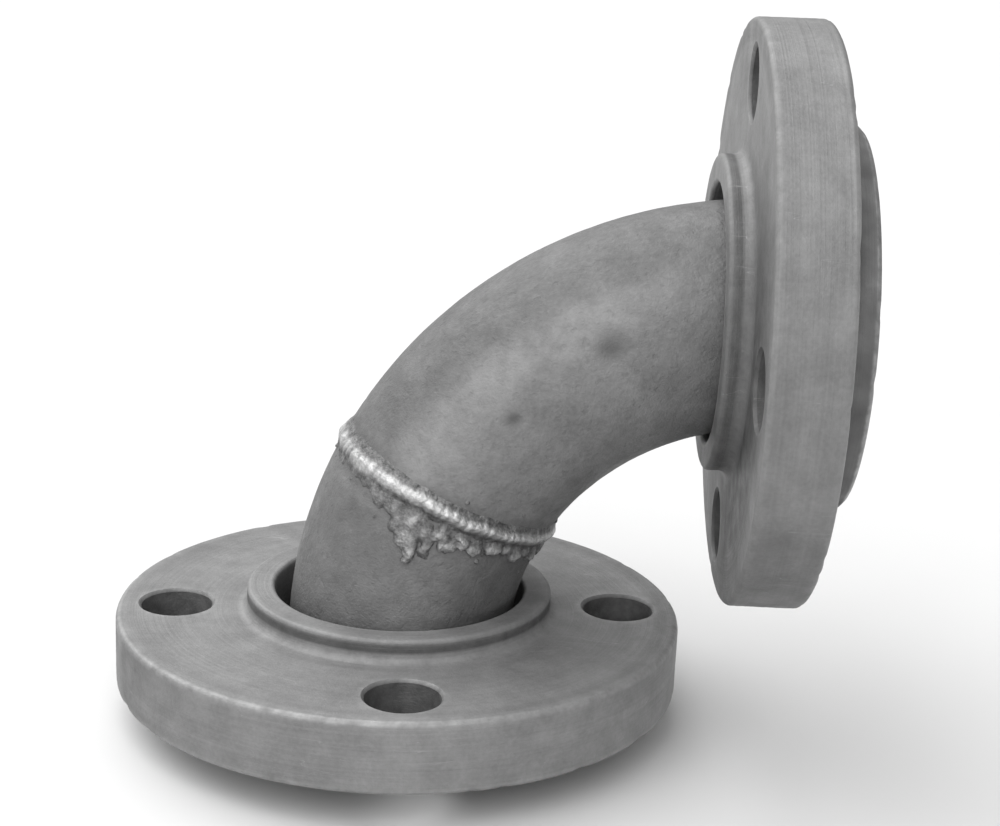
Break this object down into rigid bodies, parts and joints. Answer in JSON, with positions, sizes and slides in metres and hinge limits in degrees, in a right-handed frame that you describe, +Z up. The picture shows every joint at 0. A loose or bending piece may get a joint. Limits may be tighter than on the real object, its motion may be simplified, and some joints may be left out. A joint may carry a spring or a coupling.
{
  "type": "pipe elbow",
  "caption": "Right-angle flanged pipe elbow: a bend welded from two pieces of pipe, with a weld-on lap collar and a loose, swivelling bolting flange at each end.",
  "frame": {"origin": "centre of the lower lap collar's gasket face, on the lower leg's axis; the part stands on this face", "axes": "+Z up the lower leg's axis, into the elbow; +X the way the upper leg points, out of the elbow; the bend lies in the XZ plane"},
  "size_m": [0.1905, 0.1524, 0.1905],
  "materials": {
    "pipe_finish": "dull grey primer over rough hot-formed steel pipe",
    "flange_finish": "dull grey primer over turned forged steel, worn to brighter metal on the edges",
    "machined_steel": "fine turned steel with a dull oxide, and shallow concentric grooves on the gasket face",
    "weld_metal": "bright bare weld bead, rippled and uneven, with drips",
    "faced_weld": "weld metal turned off flush with the gasket face"
  },
  "bodies": {
    "elbow": {"main_bend": "pipe_finish", "lower_bend": "pipe_finish", "seam_weld": "weld_metal", "lower_lap_collar": "machined_steel", "upper_lap_collar": "machined_steel", "lower_collar_back_weld": "weld_metal", "upper_collar_back_weld": "weld_metal", "lower_collar_face_weld": "faced_weld", "upper_collar_face_weld": "faced_weld"},
    "lower_flange": {"lower_loose_flange": "flange_finish"},
    "upper_flange": {"upper_loose_flange": "flange_finish"}
  },
  "joints": [
    {"name": "lower_flange_swivel", "type": "hinge", "parent": "elbow", "child": "lower_flange", "pos_m": [0, 0, 0.0193], "axis": [0, 0, 1], "continuous": true},
    {"name": "upper_flange_swivel", "type": "hinge", "parent": "elbow", "child": "upper_flange", "pos_m": [0.095, 0, 0.1143], "axis": [1, 0, 0], "continuous": true}
  ]
}
